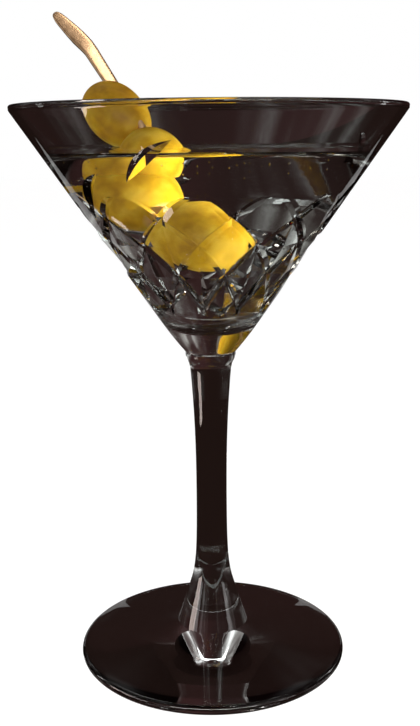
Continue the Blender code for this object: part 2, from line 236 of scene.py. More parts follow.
# Studio: what the clear pieces see round them instead of the white backdrop. Its left and right
# colours blend over BACKDROP_BLEND of a direction's X. The clouds fade in as X, to either side,
# grows over SIDES, and as Y, which points away from the camera, falls over BACK.
BACKDROP_BLEND = (-0.1, 0.2)
BACKDROP_LEFT = (0.0215, 0.0115, 0.0108)
BACKDROP_RIGHT = (0.0370, 0.0150, 0.0150)
CLOUD_SCALE = 3.4
CLOUD_DETAIL = 2.0
CLOUD_SHIFT = (1.7, 0.4, 2.2)
SIDES = (0.18, 0.42)
BACK = (0.80, 0.60)
CLOUD_STOPS = ((0.40, (0.015, 0.013, 0.013)), (0.49, (0.11, 0.103, 0.100)),
               (0.58, (0.45, 0.44, 0.43)), (0.66, (1.3, 1.3, 1.3)))

# Lights: targets in mm, distances and sizes in metres
LIGHT_TARGET = Vector((0.0, 0.0, 130.0))
BEAM_TARGET = Vector((-15.0, 0.0, 149.5))
BEAM_AZIMUTH = 56.0
BEAM_ELEVATION = 6.0
BEAM_DISTANCE = 0.6
BEAM_DEGREES = 2.5
BEAM_LAMP_RADIUS = 0.01
BEAM_WATTS = 66.0

# Camera: the photograph's view, found from the rim's and the foot's outlines
CAMERA_PLACE = Vector((-0.2, -302.8, 164.2))
CAMERA_PITCH = 12.75
CAMERA_ROLL = 0.45
FOCAL_PIXELS = 1000.0
IMAGE_HEIGHT = 726.0
SENSOR = 36.0


# Turned shapes

def evaluated_mesh(item):
    evaluated = item.evaluated_get(bpy.context.evaluated_depsgraph_get())
    return bpy.data.meshes.new_from_object(evaluated)


def turned_mesh(name, profile, steps):
    """Turn a profile of (radius, height), listed down its outer side, round Z."""
    mesh = bpy.data.meshes.new(name + "_profile")
    points = [(radius * MM, 0.0, height * MM) for radius, height in profile]
    edges = [(index, index + 1) for index in range(len(points) - 1)]
    mesh.from_pydata(points, edges, [])
    item = bpy.data.objects.new(name + "_profile", mesh)
    bpy.context.scene.collection.objects.link(item)
    screw = item.modifiers.new("turn", "SCREW")
    screw.steps = steps
    screw.render_steps = steps
    screw.use_merge_vertices = True
    screw.merge_threshold = 0.00001
    result = evaluated_mesh(item)
    bpy.data.objects.remove(item, do_unlink=True)
    bpy.data.meshes.remove(mesh)
    result.name = name
    return result


def add_piece(name, mesh, replaced, material):
    """A visible piece on the one body; it stands in for the CAD node replaced, if any."""
    piece = bpy.data.objects.new(name, mesh)
    bpy.context.scene.collection.objects.link(piece)
    mesh.materials.clear()
    mesh.materials.append(material)
    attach(piece, "root")
    if replaced:
        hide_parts(replaced)
    return piece


def curve_points(start, control, end, count):
    """Points of a quadratic curve, without its start."""
    points = []
    for step in range(1, count + 1):
        t = step / count
        points.append(tuple(
            (1 - t) ** 2 * a + 2 * t * (1 - t) * b + t * t * c
            for a, b, c in zip(start, control, end)))
    return points


def arc_points(centre, radius, first, last, count):
    """Points of an arc in the profile plane, from angle first to last in degrees."""
    angles = [math.radians(first + (last - first) * step / count) for step in range(count + 1)]
    return [(centre[0] + radius * math.cos(a), centre[1] + radius * math.sin(a)) for a in angles]


def line_points(start, end, count):
    """Points of a straight line, without its start."""
    return [tuple(a + (b - a) * step / count for a, b in zip(start, end))
            for step in range(1, count + 1)]


# Glass

def outer_radius(height):
    return CONE_BASE_RADIUS + CONE_SLOPE * (height - CONE_BASE_HEIGHT)


def inner_radius(height):
    return INNER_RADIUS + INNER_SLOPE * (height - INNER_HEIGHT)


def inner_bottom_points(grow, count):
    """The bowl's rounded bottom, grown by so many mm, from its lowest point to the inner cone."""
    slant = math.hypot(1.0, INNER_SLOPE)
    apex = INNER_HEIGHT - INNER_RADIUS / INNER_SLOPE
    radius = INNER_SLOPE * (INNER_BOTTOM_HEIGHT - apex) / (slant - INNER_SLOPE)
    centre = (0.0, INNER_BOTTOM_HEIGHT + radius)
    edge = -math.degrees(math.atan(INNER_SLOPE))
    return arc_points(centre, radius + grow, -90.0, edge, count)


def stem_radius(height):
    rise = max(0.0, (height - WAIST_HEIGHT) / (STEM_TOP_HEIGHT - WAIST_HEIGHT))
    taper = (STEM_TOP_RADIUS - WAIST_RADIUS) * rise ** STEM_TAPER_POWER
    flare = FLARE_RADIUS * math.exp((FLARE_HEIGHT - height) / FLARE_LENGTH)
    return WAIST_RADIUS + taper + flare


def stem_profile():
    """The outside from the bowl's base down over the collar, the stem and the foot."""
    notch = [NOTCH_HIGH, NOTCH_LOW]
    collar = curve_points(NOTCH_LOW, COLLAR_PULL, COLLAR_WAIST, count=8)
    collar_foot = (STEM_TOP_RADIUS + COLLAR_FOOT_STEP, STEM_TOP_HEIGHT)
    collar += curve_points(collar[-1], COLLAR_FOOT_PULL, collar_foot, count=4)
    heights = [STEM_TOP_HEIGHT + (SKIRT_HEIGHT - STEM_TOP_HEIGHT) * step / STEM_STEPS
               for step in range(1, STEM_STEPS + 1)]
    stem = [(stem_radius(height), height) for height in heights]
    foot_centre = (FOOT_CENTRE_RADIUS, FOOT_CENTRE_HEIGHT)
    skirt = curve_points(stem[-1], SKIRT_PULL, foot_centre, count=14)
    half = FOOT_EDGE_THICKNESS / 2
    edge = arc_points((FOOT_RADIUS - half, half), half, FOOT_EDGE_START, -90.0, count=14)
    slope = curve_points(foot_centre, FOOT_SLOPE_PULL, FOOT_SLOPE_POINT, count=6)
    slope += line_points(slope[-1], edge[0], count=8)
    underside = line_points(edge[-1], (0.0, 0.0), count=6)
    return notch + collar + stem + skirt + slope[:-1] + edge + underside


def lattice_height(level):
    """Height of a lattice level, counted up from the grooves' lowest crossings."""
    if level <= ARCH_START:
        return LATTICE_LOW + LATTICE_RISE * level - LATTICE_BEND * level * (level - 1)
    rise = 1.0 - (1.0 - (level - ARCH_START)) ** ARCH_ROUND
    return lattice_height(ARCH_START) + ARCH_RISE * rise


def lattice_levels():
    """Every level that has a ring of points, from the top down."""
    count = LATTICE_TOP * CUT_CELLS
    return [step / CUT_CELLS for step in range(count, -1, -1)]


def cone_point(height):
    return outer_radius(height), height


def bowl_profile():
    """The inside from its lowest point up to the rim, and the outside down to the bowl's foot."""
    inside = inner_bottom_points(0.0, count=14)
    bead_centre = (RIM_RADIUS - RIM_BEAD, HEIGHT - RIM_BEAD)
    bead = arc_points(bead_centre, RIM_BEAD, 180.0, -40.0, count=16)
    below_bead = (bead[0][0] - INNER_SLOPE * RIM_GUARD, bead[0][1] - RIM_GUARD)
    inside += line_points(inside[-1], below_bead, count=14)
    shoulder = HEIGHT - RIM_SHOULDER
    outer = curve_points(
        bead[-1], cone_point(shoulder + SHOULDER_ROUNDING), cone_point(shoulder), count=4)
    outer.append(cone_point(shoulder - RIM_GUARD))
    outer += line_points(outer[-1], cone_point(lattice_height(LATTICE_TOP)), count=10)
    outer += [cone_point(lattice_height(level)) for level in lattice_levels()[1:]]
    base = (CONE_BASE_RADIUS, CONE_BASE_HEIGHT)
    outer += line_points(outer[-1], base, count=4)
    outer += curve_points(base, BOWL_BASE_PULL, (BOWL_FOOT_RADIUS, COLLAR_TOP_HEIGHT), count=10)
    return inside + bead + outer


def groove_strength(level, rising):
    """How deep a groove of either family is cut at a level, from 0 to 1."""
    if level < 0 or level > LATTICE_TOP:
        return 0.0
    if level <= ARCH_START:
        return 1.0
    fade = max(0.0, (ARCH_TIP - level) / (ARCH_TIP - ARCH_START))
    return fade ** ARCH_FADE_POWER if rising else ARCH_WEAK_SIDE * fade


def groove_distances(turn, level):
    """Distance to the nearest falling and the nearest rising groove, in cells."""
    along = (turn + level) / 2
    across = (turn - level) / 2
    return abs(along - round(along)), abs(across - round(across))


def cut_depth(turn, level):
    """Depth of the cuts in mm at a lattice position: turn in half cells, and level."""
    to_falling, to_rising = groove_distances(turn, level)
    half_width = GROOVE_WIDTH / 2
    depth = 0.0
    for distance, rising in ((to_falling, False), (to_rising, True)):
        profile = max(0.0, 1.0 - distance / half_width)
        depth = max(depth, GROOVE_DEPTH * profile * groove_strength(level, rising))
    nudges = (-CELL_NUDGE, CELL_NUDGE)
    rows = [math.floor((turn + level) / 2 + a) - math.floor((turn - level) / 2 + b)
            for a in nudges for b in nudges]
    if any(row in FACETED_ROWS for row in rows):
        depth += FACET_DEPTH * (1.0 - 2.0 * min(to_falling, to_rising))
    return depth


def crease_ends(corners, places):
    """The diagonal of a quad that runs along its nearest groove."""
    turns = [places[corner][0] for corner in corners]
    levels = [places[corner][1] for corner in corners]
    whole = 2 * CUT_REPEATS
    steps = [(turn - turns[0] + CUT_REPEATS) % whole - CUT_REPEATS for turn in turns]
    middle = turns[0] + sum(steps) / 4
    to_falling, to_rising = groove_distances(middle, sum(levels) / 4)
    first_rises = (steps[2] - steps[0]) * (levels[2] - levels[0]) > 0
    if first_rises == (to_rising < to_falling):
        return corners[0], corners[2]
    return corners[1], corners[3]


def cut_lattice(mesh):
    """Sink the outer cone's points to the depth of the cuts, with the creases along them."""
    form = bmesh.new()
    form.from_mesh(mesh)
    tilt = math.atan(CONE_SLOPE)
    inward = (-math.cos(tilt), math.sin(tilt))
    level_at = {round(lattice_height(level), 2): level for level in lattice_levels()}
    places = {}
    for vertex in form.verts:
        radius = math.hypot(vertex.co.x, vertex.co.y) / MM
        height = round(vertex.co.z / MM, 2)
        outside = abs(radius - outer_radius(height)) < SURFACE_TOLERANCE
        if not outside or height not in level_at:
            continue
        angle = math.degrees(math.atan2(vertex.co.x, -vertex.co.y)) - CUT_PHASE
        turn = round(angle * TURN_STEPS / 360) / CUT_CELLS
        places[vertex] = (turn, level_at[height])
    for face in list(form.faces):
        corners = list(face.verts)
        if len(corners) == 4 and all(corner in places for corner in corners):
            bmesh.utils.face_split(face, *crease_ends(corners, places))
    for vertex, (turn, level) in places.items():
        depth = cut_depth(turn, level)
        x, y, z = vertex.co
        scale = 1.0 + inward[0] * depth * MM / math.hypot(x, y)
        vertex.co = (x * scale, y * scale, z + inward[1] * depth * MM)
    form.to_mesh(mesh)
    form.free()


def on_cone(angle, height, lift):
    """Point at an angle and height of the outer cone, lifted off it by so many mm."""
    tilt = math.atan(CONE_SLOPE)
    radius = outer_radius(height) + lift * math.cos(tilt)
    turn = math.radians(angle)
    return Vector((radius * math.sin(turn), -radius * math.cos(turn),
                   height - lift * math.sin(tilt))) * MM


def leaf_path(leaf, t):
    """Angle and height of a leaf cut's middle line, with t from 0 to 1 along it."""
    (angle_a, height_a), (angle_b, height_b), bow = leaf
    swell = bow * math.sin(math.pi * t)
    angle = angle_a + (angle_b - angle_a) * t - swell
    height = height_a + (height_b - height_a) * t + swell
    return angle, height


def leaf_cutter(name, leaf, turn):
    """A V-shaped blade on a bowed path, widest halfway and clear of the glass at its tips."""
    form = bmesh.new()
    sections = []
    step = 0.5 / LEAF_STATIONS
    for station in range(LEAF_STATIONS):
        t = station / (LEAF_STATIONS - 1)
        ahead = on_cone(*leaf_path(leaf, t + step), 0.0)
        behind = on_cone(*leaf_path(leaf, t - step), 0.0)
        place = leaf_path(leaf, t)
        lifted = on_cone(*place, LEAF_LIFT)
        out_of_glass = lifted - on_cone(*place, 0.0)
        swell = max(0.0, math.sin(math.pi * t)) ** LEAF_FULLNESS
        depth = LEAF_DEPTH * (LEAF_SWELL * swell + 1.0 - LEAF_SWELL)
        half_width = LEAF_WIDTH / 2 * (depth + LEAF_LIFT) / LEAF_DEPTH
        side = (ahead - behind).cross(out_of_glass).normalized() * half_width * MM
        corners = (on_cone(*place, -depth), lifted - side, lifted + side)
        sections.append([form.verts.new(corner) for corner in corners])
    for before, after in zip(sections, sections[1:]):
        for side in range(3):
            following = (side + 1) % 3
            form.faces.new((before[side], before[following], after[following], after[side]))
    form.faces.new(sections[0])
    form.faces.new(sections[-1])
    bmesh.ops.recalc_face_normals(form, faces=form.faces)
    mesh = bpy.data.meshes.new(name)
    form.to_mesh(mesh)
    form.free()
    mesh.transform(Matrix.Rotation(turn, 4, "Z"))
    cutter = bpy.data.objects.new(name, mesh)
    bpy.context.scene.collection.objects.link(cutter)
    return cutter


def mark_creases(mesh):
    """Keep the cuts' edges crisp, and the turned surfaces round them smooth."""
    form = bmesh.new()
    form.from_mesh(mesh)
    low = LATTICE_LOW - CUT_MARGINS[0]
    high = HEIGHT - RIM_SHOULDER - CUT_MARGINS[1]
    for face in form.faces:
        face.smooth = True
    for edge in form.edges:
        middle = (edge.verts[0].co + edge.verts[1].co) / 2 / MM
        halfway = (inner_radius(middle.z) + outer_radius(middle.z)) / 2
        cut = low < middle.z < high and math.hypot(middle.x, middle.y) > halfway
        limit = CREASE_DEGREES if cut else SMOOTH_DEGREES
        edge.smooth = edge.calc_face_angle(0.0) < math.radians(limit)
    form.to_mesh(mesh)
    form.free()


def make_glass():
    """The turned glass, with its lattice of grooves and its long leaf cuts."""
    mesh = turned_mesh("glass_body", bowl_profile() + stem_profile(), TURN_STEPS)
    mesh.transform(Matrix.Rotation(math.radians(CUT_PHASE), 4, "Z"))
    cut_lattice(mesh)
    body = bpy.data.objects.new("uncut_glass", mesh)
    bpy.context.scene.collection.objects.link(body)
    cutters = []
    for repeat in range(LEAF_REPEATS):
        turn = 2 * math.pi * repeat / LEAF_REPEATS
        for label, leaf in (("high", LEAF_HIGH), ("low", LEAF_LOW)):
            cutters.append(leaf_cutter(f"leaf_{label}_{repeat}", leaf, turn))
    for cutter in cutters:
        boolean = body.modifiers.new("leaf", "BOOLEAN")
        boolean.operation = "DIFFERENCE"
        boolean.solver = "EXACT"
        boolean.object = cutter
    cut = evaluated_mesh(body)
    for item in (body, *cutters):
        bpy.data.objects.remove(item, do_unlink=True)
    cut.name = "glass_body"
    mark_creases(cut)
    add_piece("glass_body", cut, "glass", glass_material())


# Olives and pick

def olive_place(index, name):
    """Centre and turn of an olive; each is rolled round its long axis by its own angle."""
    drift, axis = OLIVES[name][2:]
    centre = ROD_CENTRE + ROD_DIRECTION * OLIVE_SPACING * index + Vector(drift)
    turn = Vector(axis).to_track_quat("Z", "Y") @ Quaternion((0, 0, 1), OLIVE_ROLL * index)
    return centre, turn


def olive_shape(direction, length, width, shift):
    """Point of an olive's skin in a direction: egg-like, lumpy, with a dimple at each end."""
    x, y, z = direction
    spread = width / 2 * (1.0 + OLIVE_BLUNTNESS * z)
    height, along_x, along_y = SIDE_LUMPS
    lump = height * math.sin(along_x * x + shift) * math.cos(along_y * y - shift)
    height, along_z, along_x = END_LUMPS
    lump += height * math.sin(along_z * z + along_x * x)
    off_axis = math.hypot(x, y) * width / 2
    dent = OLIVE_DIMPLE_DEPTH * math.exp(-(off_axis / OLIVE_DIMPLE_RADIUS) ** 2)
    reach = length / 2 - dent
    return Vector((x * spread * (1 + lump), y * spread * (1 + lump), z * reach))


def make_olive(index, name, material):
    """An olive's skin, modelled round its own centre and then put in its place."""
    length, width = OLIVES[name][:2]
    form = bmesh.new()
    bmesh.ops.create_uvsphere(
        form, u_segments=OLIVE_SEGMENTS, v_segments=OLIVE_RINGS, radius=1.0)
    for vertex in form.verts:
        vertex.co = olive_shape(vertex.co, length, width, LUMP_SHIFT * index) * MM
    for face in form.faces:
        face.smooth = True
    mesh = bpy.data.meshes.new(name + "_skin")
    form.to_mesh(mesh)
    form.free()
    olive = add_piece(name + "_skin", mesh, name, material)
    olive.rotation_mode = "QUATERNION"
    centre, turn = olive_place(index, name)
    olive.location = centre * MM
    olive.rotation_quaternion = turn


def pick_sections():
    """Centre, direction, width, thickness and squareness of the pick's sections, point first."""
    point = ROD_CENTRE - ROD_DIRECTION * ROD_BELOW
    neck = ROD_CENTRE + ROD_DIRECTION * NECK_ABOVE
    knee = neck + BAR_BEND * BAR_LENGTH
    rod = (ROD_DIRECTION, 2 * ROD_RADIUS, 2 * ROD_RADIUS, ROUND)
    sections = []
    for share in POINT_SHARES:
        centre = point + ROD_DIRECTION * POINT_LENGTH * share
        width = POINT_WIDTH + (2 * ROD_RADIUS - POINT_WIDTH) * share ** POINT_POWER
        sections.append((centre, ROD_DIRECTION, width, width, ROUND))
    sections.append((point + ROD_DIRECTION * POINT_LENGTH, *rod))
    sections.append((ROD_CENTRE + ROD_DIRECTION * ROD_ABOVE, *rod))
    sections.append((neck, ROD_DIRECTION + BAR_BEND, BAR_WIDTH, BAR_THICKNESS, SQUARE))
    for share in BAR_SHARES:
        centre = neck + BAR_BEND * BAR_LENGTH * share
        width = BAR_WIDTH + (PADDLE_WIDTH * KNEE_SHARE - BAR_WIDTH) * share
        sections.append((centre, BAR_BEND, width, BAR_THICKNESS, SQUARE))
    for share, breadth in PADDLE_SHARES:
        centre = knee + PADDLE_BEND * PADDLE_LENGTH * share
        thickness = BAR_THICKNESS * breadth ** PADDLE_THINNING
        sections.append((centre, PADDLE_BEND, PADDLE_WIDTH * breadth, thickness, SQUARE))
    return sections


def squared(value, squareness):
    """A sine or cosine pushed outwards, so that its circle becomes a rounded square."""
    return math.copysign(abs(value) ** (2.0 / squareness), value)


def make_pick(material):
    """A skin over the pick's sections, each turned so that its flat side faces the front."""
    form = bmesh.new()
    rings = []
    for centre, direction, width, thickness, squareness in pick_sections():
        along = direction.normalized()
        facing = (PICK_FACING - along * PICK_FACING.dot(along)).normalized()
        side = along.cross(facing)
        ring = []
        for step in range(PICK_SIDES):
            turn = 2 * math.pi * step / PICK_SIDES
            offset = side * squared(math.cos(turn), squareness) * width / 2
            offset += facing * squared(math.sin(turn), squareness) * thickness / 2
            ring.append(form.verts.new((centre + offset) * MM))
        rings.append(ring)
    for before, after in zip(rings, rings[1:]):
        for step in range(PICK_SIDES):
            following = (step + 1) % PICK_SIDES
            form.faces.new((before[step], before[following], after[following], after[step]))
    form.faces.new(rings[0])
    form.faces.new(rings[-1])
    bmesh.ops.recalc_face_normals(form, faces=form.faces)
    mesh = bpy.data.meshes.new("pick_body")
    form.to_mesh(mesh)
    form.free()
    mesh.shade_smooth()
    mesh.set_sharp_from_angle(angle=math.radians(PICK_CREASE_DEGREES))
    return add_piece("pick_body", mesh, "pick", material)


# Drink

def olive_clearance(point, index, name):
    """How far a point is outside an olive, in mm."""
    length, width = OLIVES[name][:2]
    centre, turn = olive_place(index, name)
    local = turn.inverted() @ (point - centre)
    scaled = Vector((local.x / (width / 2), local.y / (width / 2), local.z / (length / 2)))
    return (scaled.length - 1.0) * width / 2


def surface_height(x, y):
    """Height of the drink's surface, which climbs the wall and the olives that break it."""
    wall = inner_radius(LEVEL + MENISCUS_RISE) - math.hypot(x, y)
    rise = MENISCUS_RISE * math.exp(-max(0.0, wall) / MENISCUS_REACH)
    for index, name in enumerate(OLIVES):
        gap = olive_clearance(Vector((x, y, LEVEL)), index, name)
        rise += OLIVE_MENISCUS * math.exp(-max(0.0, gap) / MENISCUS_REACH)
    return LEVEL + rise


def make_drink(material):
    """The drink, a little into the glass's wall, with its rings closer together at the wall."""
    edge = inner_radius(LEVEL + MENISCUS_RISE) + WALL_OVERLAP
    surface = [(edge * math.sin(math.pi / 2 * ring / SURFACE_RINGS), LEVEL)
               for ring in range(SURFACE_RINGS)]
    slant = math.hypot(1.0, INNER_SLOPE)
    bottom = list(reversed(inner_bottom_points(WALL_OVERLAP, count=14)))
    contact = (inner_radius(LEVEL) + WALL_OVERLAP * slant, LEVEL - CONTACT_DROP)
    side = [contact] + line_points(contact, bottom[0], count=12)
    mesh = turned_mesh("drink_body", surface + side + bottom[1:], DRINK_STEPS)
    for vertex in mesh.vertices:
        x, y, z = vertex.co / MM
        if abs(z - LEVEL) < CONTACT_DROP / 2:
            vertex.co.z = surface_height(x, y) * MM
    mesh.shade_smooth()
    mesh.set_sharp_from_angle(angle=math.radians(DRINK_CREASE_DEGREES))
    add_piece("drink_body", mesh, "drink", material)


def make_bubbles(material):
    """Small bubbles under the surface and deeper in the drink, more of them near the wall."""
    draw = random.Random(BUBBLE_SEED)
    form = bmesh.new()
    for count, low, high, largest in BUBBLE_GROUPS:
        for _ in range(count):
            height = draw.uniform(low, high)
            radius = draw.uniform(BUBBLE_SMALLEST, largest)
            turn = draw.uniform(0.0, 2 * math.pi)
            near_wall = draw.random() ** BUBBLE_CROWDING
            reach = (inner_radius(height) - radius - BUBBLE_WALL_GAP) * near_wall
            centre = Vector((reach * math.sin(turn), -reach * math.cos(turn), height))
            clearance = min(olive_clearance(centre, *olive) for olive in enumerate(OLIVES))
            if clearance < radius + BUBBLE_OLIVE_GAP:
                continue
            bmesh.ops.create_icosphere(
                form, subdivisions=2, radius=radius * MM, matrix=Matrix.Translation(centre * MM))
    for face in form.faces:
        face.smooth = True
    mesh = bpy.data.meshes.new("bubbles")
    form.to_mesh(mesh)
    form.free()
    add_piece("bubbles", mesh, None, material)


# Materials

def new_material(name):
    material = bpy.data.materials.new(name)
    material.use_nodes = True
    nodes = material.node_tree.nodes
    return material, nodes, material.node_tree.links, nodes["Principled BSDF"]


def add_noise(nodes, links, coordinates, scale, detail, stretch=(1.0,) * 3, shift=(0.0,) * 3):
    """Noise in space; a stretch below 1 draws it out along that axis."""
    mapping = nodes.new("ShaderNodeMapping")
    mapping.inputs["Scale"].default_value = stretch
    mapping.inputs["Location"].default_value = shift
    links.new(coordinates, mapping.inputs["Vector"])
    noise = nodes.new("ShaderNodeTexNoise")
    noise.inputs["Scale"].default_value = scale
    noise.inputs["Detail"].default_value = detail
    links.new(mapping.outputs["Vector"], noise.inputs["Vector"])
    return noise.outputs["Fac"]


def add_ramp(nodes, links, factor, stops):
    ramp = nodes.new("ShaderNodeValToRGB")
    elements = ramp.color_ramp.elements
    while len(elements) < len(stops):
        elements.new(0.5)
    for element, (place, colour) in zip(elements, stops):
        element.position = place
        element.color = (*colour, 1.0)
    links.new(factor, ramp.inputs["Fac"])
    return ramp.outputs["Color"]


def add_bump(nodes, links, shader, height, strength, distance):
    """Relief on a shader's surface, with its distance in mm."""
    bump = nodes.new("ShaderNodeBump")
    bump.inputs["Strength"].default_value = strength
    bump.inputs["Distance"].default_value = distance * MM
    links.new(height, bump.inputs["Height"])
    links.new(bump.outputs["Normal"], shader.inputs["Normal"])


def map_range(nodes, links, value, low, high):
    """A value as a share of the way from low to high, eased at both ends."""
    smooth = nodes.new("ShaderNodeMapRange")
    smooth.interpolation_type = "SMOOTHSTEP"
    smooth.inputs["From Min"].default_value = low
    smooth.inputs["From Max"].default_value = high
    links.new(value, smooth.inputs["Value"])
    return smooth.outputs["Result"]


def add_colours(nodes, links, first, second):
    total = nodes.new("ShaderNodeMix")
    total.data_type = "RGBA"
    total.blend_type = "ADD"
    total.inputs["Factor"].default_value = 1.0
    links.new(first, total.inputs["A"])
    links.new(second, total.inputs["B"])
    return total.outputs["Result"]


def scale_by(nodes, links, colour, factor):
    """A colour times a factor from 0 to 1."""
    scaled = nodes.new("ShaderNodeMix")
    scaled.data_type = "RGBA"
    scaled.inputs["A"].default_value = (0.0, 0.0, 0.0, 1.0)
    links.new(colour, scaled.inputs["B"])
    links.new(factor, scaled.inputs["Factor"])
    return scaled.outputs["Result"]


def let_lamps_through(nodes, links, shader, tint):
    """Clear materials cast only a faint shadow, so that what is inside them is lit."""
    path = nodes.new("ShaderNodeLightPath")
    clear = nodes.new("ShaderNodeBsdfTransparent")
    clear.inputs["Color"].default_value = (*tint, 1.0)
    mix = nodes.new("ShaderNodeMixShader")
    links.new(path.outputs["Is Shadow Ray"], mix.inputs["Fac"])
    links.new(shader.outputs["BSDF"], mix.inputs[1])
    links.new(clear.outputs["BSDF"], mix.inputs[2])
    links.new(mix.outputs["Shader"], nodes["Material Output"].inputs["Surface"])


def glass_material():
    """Clear glass, a little hazy in patches, with faint waves in its polish."""
    material, nodes, links, shader = new_material("cut_clear_glass")
    shader.inputs["Base Color"].default_value = (*GLASS_TINT, 1.0)
    shader.inputs["Transmission Weight"].default_value = 1.0
    shader.inputs["IOR"].default_value = GLASS_IOR
    place = nodes.new("ShaderNodeTexCoord").outputs["Object"]
    haze = add_noise(nodes, links, place, scale=60.0, detail=3.0)
    links.new(add_ramp(nodes, links, haze, GLASS_HAZE), shader.inputs["Roughness"])
    waves = add_noise(nodes, links, place, scale=45.0, detail=1.0, stretch=(1.0, 1.0, 0.5))
    add_bump(nodes, links, shader, waves, strength=0.10, distance=0.3)
    let_lamps_through(nodes, links, shader, GLASS_SHADOW)
    return material


def drink_material():
    """A nearly colourless drink, with faint ripples."""
    material, nodes, links, shader = new_material("clear_drink")
    shader.inputs["Base Color"].default_value = (*DRINK_TINT, 1.0)
    shader.inputs["Transmission Weight"].default_value = 1.0
    shader.inputs["IOR"].default_value = DRINK_IOR
    shader.inputs["Roughness"].default_value = 0.0
    place = nodes.new("ShaderNodeTexCoord").outputs["Object"]
    ripple = add_noise(nodes, links, place, scale=90.0, detail=2.0)
    add_bump(nodes, links, shader, ripple, strength=0.2, distance=0.3)
    let_lamps_through(nodes, links, shader, DRINK_SHADOW)
    return material


def bubble_material():
    """Air inside the drink, so that light bends the other way, with an uneven film."""
    material, nodes, links, shader = new_material("bubble_air")
    shader.inputs["Transmission Weight"].default_value = 1.0
    shader.inputs["Roughness"].default_value = 0.0
    shader.inputs["IOR"].default_value = BUBBLE_IOR
    place = nodes.new("ShaderNodeTexCoord").outputs["Object"]
    film = add_noise(nodes, links, place, scale=400.0, detail=1.0)
    links.new(add_ramp(nodes, links, film, BUBBLE_FILM), shader.inputs["Base Color"])
    let_lamps_through(nodes, links, shader, BUBBLE_SHADOW)
    return material


def olive_material(name, end_colour):
    """Mottled golden skin with fine pores, and a lower end with its own colour."""
    material, nodes, links, shader = new_material(name)
    place = nodes.new("ShaderNodeTexCoord").outputs["Object"]
    mottle = add_noise(nodes, links, place, scale=160.0, detail=5.0)
    skin = add_ramp(nodes, links, mottle, OLIVE_SKIN)
    height = nodes.new("ShaderNodeSeparateXYZ")
    links.new(place, height.inputs["Vector"])
    cap = nodes.new("ShaderNodeMapRange")
    cap.inputs["From Min"].default_value = OLIVE_END_HEIGHTS[0] * MM
    cap.inputs["From Max"].default_value = OLIVE_END_HEIGHTS[1] * MM
    links.new(height.outputs["Z"], cap.inputs["Value"])
    blend = nodes.new("ShaderNodeMix")
    blend.data_type = "RGBA"
    links.new(cap.outputs["Result"], blend.inputs["Factor"])
    links.new(skin, blend.inputs["A"])
    blend.inputs["B"].default_value = (*end_colour, 1.0)
    links.new(blend.outputs["Result"], shader.inputs["Base Color"])
    shader.inputs["Roughness"].default_value = 0.45
    shader.inputs["Specular IOR Level"].default_value = 0.18
    shader.inputs["Subsurface Weight"].default_value = 0.15
    shader.inputs["Subsurface Radius"].default_value = (0.6, 0.3, 0.05)
    shader.inputs["Subsurface Scale"].default_value = 3.0 * MM
    pores = add_noise(nodes, links, place, scale=900.0, detail=4.0)
    add_bump(nodes, links, shader, pores, strength=0.35, distance=0.12)
    return material


def gold_material():
    """Satin gold, with a fine grain that is drawn out upwards."""
    material, nodes, links, shader = new_material("satin_gold")
    shader.inputs["Metallic"].default_value = 1.0
    place = nodes.new("ShaderNodeTexCoord").outputs["Object"]
    grain = add_noise(nodes, links, place, scale=500.0, detail=3.0, stretch=(1.0, 1.0, 0.12))
    links.new(add_ramp(nodes, links, grain, GOLD_COLOURS), shader.inputs["Base Color"])
    links.new(add_ramp(nodes, links, grain, GOLD_ROUGHNESS), shader.inputs["Roughness"])
    add_bump(nodes, links, shader, grain, strength=0.1, distance=0.04)
    return material


# Stage: a pale floor that the camera sees, over a dark one that the glass shows

def floor_material(name, glow, base):
    """A matt floor that is mostly its own light, so that it stays even to the horizon."""
    material, *_, shader = new_material(name)
    shader.inputs["Base Color"].default_value = (*base, 1.0)
    shader.inputs["Roughness"].default_value = 0.9
    shader.inputs["Specular IOR Level"].default_value = 0.0
    shader.inputs["Emission Color"].default_value = (*glow, 1.0)
    shader.inputs["Emission Strength"].default_value = 1.0
    return material


def add_floor(name, height, material):
    form = bmesh.new()
    bmesh.ops.create_circle(form, cap_ends=True, segments=FLOOR_SEGMENTS, radius=FLOOR_RADIUS)
    mesh = bpy.data.meshes.new(name)
    form.to_mesh(mesh)
    form.free()
    disc = bpy.data.objects.new(name, mesh)
    bpy.context.scene.collection.objects.link(disc)
    disc.location.z = height
    mesh.materials.append(material)
    return disc


def make_floors():
    pale_material = floor_material("pale_floor", PALE_FLOOR_GLOW, PALE_FLOOR_BASE)
    pale = add_floor("floor", PALE_FLOOR_HEIGHT, pale_material)
    pale.visible_transmission = False
    pale.visible_glossy = False
    pale.visible_diffuse = False
    dark_material = floor_material("dark_floor", DARK_FLOOR_GLOW, DARK_FLOOR_BASE)
    dark = add_floor("dark_floor", DARK_FLOOR_HEIGHT, dark_material)
    dark.visible_camera = False
    dark.visible_shadow = False


